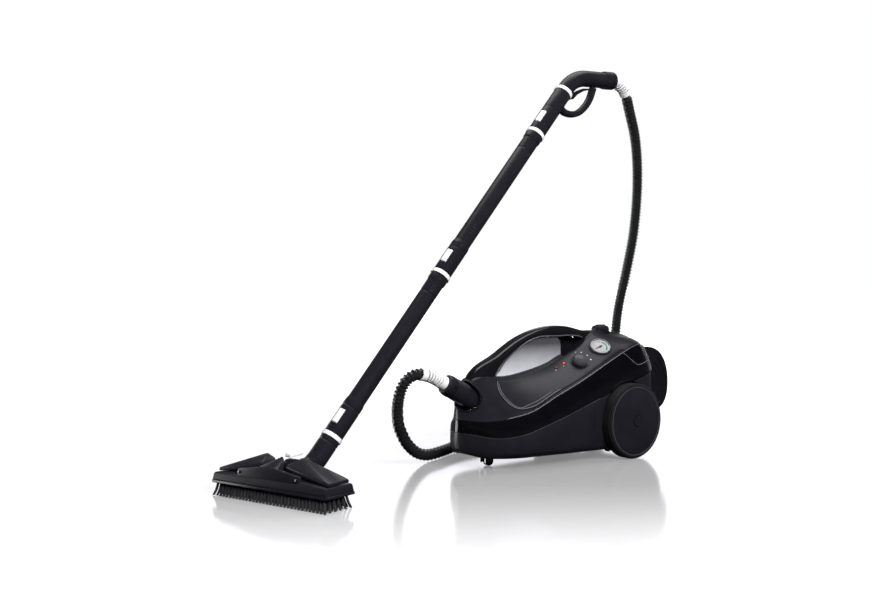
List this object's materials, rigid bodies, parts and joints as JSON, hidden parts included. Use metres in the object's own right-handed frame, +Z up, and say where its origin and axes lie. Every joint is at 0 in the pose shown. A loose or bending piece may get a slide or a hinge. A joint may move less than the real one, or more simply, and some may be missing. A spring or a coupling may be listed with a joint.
{
  "type": "steam cleaner",
  "caption": "Wheeled canister steam cleaner with boiler, pressure gauge and steam knob, its steam hose, trigger handle, extension tubes and a swivelling floor brush.",
  "frame": {"origin": "middle of the bounding box of everything but the hose and what is on it, on the floor", "axes": "+Z up, the machine's nose and the wand's foot point towards -X, the rear panel towards +X"},
  "size_m": [1.2488, 0.4663, 0.9453],
  "materials": {
    "satin_black": "satin moulded near-black plastic with a faint violet cast",
    "gloss_black": "piano-black polished plastic",
    "panel_grey": "polished dark grey plastic",
    "white_plastic": "white moulded plastic",
    "soft_black": "matt black rubber",
    "hose_rubber": "corrugated black hose cover",
    "bristle": "black nylon bristles",
    "steel": "plain steel",
    "chrome": "bright chrome",
    "brass": "plain brass",
    "alloy": "cast aluminium",
    "lamp_red": "clear red lamp lens",
    "lamp_dark_red": "unlit dark red lamp lens",
    "board_green": "green circuit board"
  },
  "bodies": {
    "machine": {"lower_shell": "satin_black", "side_band": "gloss_black", "rear_cover": "satin_black", "control_panel": "satin_black", "upper_deck": "satin_black", "rear_panel": "satin_black", "carry_handle": "satin_black", "inner_panel": "panel_grey", "hose_socket": "satin_black", "hose_plug": "satin_black", "plug_strain_relief": "white_plastic", "steam_hose": "hose_rubber", "pressure_gauge": "chrome", "indicator_lamp_1": "lamp_dark_red", "indicator_lamp_2": "lamp_red", "boiler": "steel", "boiler_cradle": "steel", "heating_plate": "alloy", "thermostat": "brass", "safety_valve": "brass", "solenoid_valve": "brass", "steam_pipe": "brass", "filler_neck": "brass", "control_board": "board_green", "rear_rails": "satin_black", "power_cord_gland": "soft_black", "rear_axle": "steel"},
    "plug_catch": {"plug_button": "satin_black"},
    "needle": {"gauge_needle": "satin_black"},
    "knob": {"steam_knob": "satin_black"},
    "cap_screw": {"filler_cap_thread": "brass"},
    "cap": {"filler_cap": "satin_black"},
    "wheel_left": {"wheel_tyre_left": "soft_black", "wheel_disk_left": "satin_black"},
    "wheel_right": {"wheel_tyre_right": "soft_black", "wheel_disk_right": "satin_black"},
    "caster": {"caster_fork": "steel"},
    "caster_roller": {"caster_wheel": "soft_black"},
    "wand": {"white_ring_1": "white_plastic", "white_ring_2": "white_plastic", "white_ring_3": "white_plastic", "white_ring_4": "white_plastic", "extension_tube_lower": "satin_black", "extension_tube_upper": "satin_black", "grip_tube": "satin_black", "handle_pipe": "satin_black", "finger_loop": "satin_black", "handle_strain_relief": "white_plastic", "neck_socket": "satin_black"},
    "tube_button_1": {"lock_button_1": "white_plastic"},
    "tube_button_2": {"lock_button_2": "white_plastic"},
    "tube_button_3": {"lock_button_3": "white_plastic"},
    "trigger": {"steam_trigger": "satin_black"},
    "lever": {"neck_lock_lever": "white_plastic"},
    "elbow": {"swivel_base": "satin_black"},
    "head": {"brush_body": "satin_black", "bristle_block": "bristle", "brush_fascia": "satin_black"},
    "clamp_left": {"wing_clamp_left": "satin_black"},
    "clamp_right": {"wing_clamp_right": "satin_black"}
  },
  "joints": [
    {"name": "wheel_left_spin", "type": "hinge", "parent": "machine", "child": "wheel_left", "pos_m": [0.4058, -0.096, 0.09], "axis": [0, 1, 0], "continuous": true},
    {"name": "wheel_right_spin", "type": "hinge", "parent": "machine", "child": "wheel_right", "pos_m": [0.4058, 0.166, 0.09], "axis": [0, 1, 0], "continuous": true},
    {"name": "caster_swivel", "type": "hinge", "parent": "machine", "child": "caster", "pos_m": [0.0608, 0.035, 0.025], "axis": [0, 0, 1], "continuous": true},
    {"name": "caster_spin", "type": "hinge", "parent": "caster", "child": "caster_roller", "pos_m": [0.0688, 0.035, 0.011], "axis": [0, 1, 0], "continuous": true},
    {"name": "steam_knob_turn", "type": "hinge", "parent": "machine", "child": "knob", "pos_m": [0.2998, -0.027, 0.23004], "axis": [-0.3121, -0.5155, 0.798], "range_deg": [0, 270]},
    {"name": "gauge_needle_turn", "type": "hinge", "parent": "machine", "child": "needle", "pos_m": [0.3688, -0.027, 0.26235], "axis": [-0.3372, -0.5875, 0.7356], "range_deg": [-240, 0]},
    {"name": "filler_cap_lift", "type": "slide", "parent": "machine", "child": "cap_screw", "axis": [0, 0, 1], "range_m": [0, 0.006]},
    {"name": "filler_cap_turn", "type": "hinge", "parent": "cap_screw", "child": "cap", "pos_m": [0.4328, 0.035, 0.299], "axis": [0, 0, 1], "range_deg": [0, 720]},
    {"name": "plug_button_press", "type": "slide", "parent": "machine", "child": "plug_catch", "axis": [0, 1, 0], "range_m": [0, 0.0025], "stiffness_N_per_m": 400, "springref_m": -0.001},
    {"name": "wand_lean", "type": "hinge", "parent": "machine", "child": "wand", "pos_m": [-0.46282, -0.01302, 0.062], "axis": [-0.289, 0.9573, 0], "range_deg": [-15, 15], "deforming": ["steam_hose"]},
    {"name": "tube_button_1_press", "type": "slide", "parent": "wand", "child": "tube_button_1", "axis": [0.7649, 0, -0.6441], "range_m": [0, 0.002], "stiffness_N_per_m": 500, "springref_m": -0.001},
    {"name": "tube_button_2_press", "type": "slide", "parent": "wand", "child": "tube_button_2", "axis": [0.7649, 0, -0.6441], "range_m": [0, 0.002], "stiffness_N_per_m": 500, "springref_m": -0.001},
    {"name": "tube_button_3_press", "type": "slide", "parent": "wand", "child": "tube_button_3", "axis": [0.7649, 0, -0.6441], "range_m": [0, 0.002], "stiffness_N_per_m": 500, "springref_m": -0.001},
    {"name": "steam_trigger_pull", "type": "hinge", "parent": "wand", "child": "trigger", "pos_m": [0.3448, -0.0085, 0.884], "axis": [0, 1, 0], "range_deg": [0, 4], "stiffness_Nm_per_rad": 0.6, "springref_deg": -5.73},
    {"name": "neck_lock_lift", "type": "hinge", "parent": "wand", "child": "lever", "pos_m": [-0.48005, -0.01822, 0.084], "axis": [0.289, -0.9573, 0], "range_deg": [0, 35]},
    {"name": "neck_tilt", "type": "hinge", "parent": "wand", "child": "elbow", "pos_m": [-0.46282, -0.01302, 0.062], "axis": [-0.289, 0.9573, 0], "range_deg": [-15, 15]},
    {"name": "brush_swivel", "type": "hinge", "parent": "elbow", "child": "head", "pos_m": [-0.4992, -0.024, 0.04], "axis": [0, 0, 1], "range_deg": [-20, 20]},
    {"name": "clamp_left_open", "type": "hinge", "parent": "head", "child": "clamp_left", "pos_m": [-0.50961, 0.01046, 0.06], "axis": [0.9573, 0.289, 0], "range_deg": [0, 25], "stiffness_Nm_per_rad": 0.8, "springref_deg": -8.59},
    {"name": "clamp_right_open", "type": "hinge", "parent": "head", "child": "clamp_right", "pos_m": [-0.48879, -0.05846, 0.06], "axis": [-0.9573, -0.289, 0], "range_deg": [0, 25], "stiffness_Nm_per_rad": 0.8, "springref_deg": -8.59}
  ],
  "couplings": [
    {"joint": "filler_cap_turn", "follows": "filler_cap_lift", "rad_per_m": 2094},
    {"joint": "neck_tilt", "follows": "wand_lean", "ratio": -1}
  ]
}
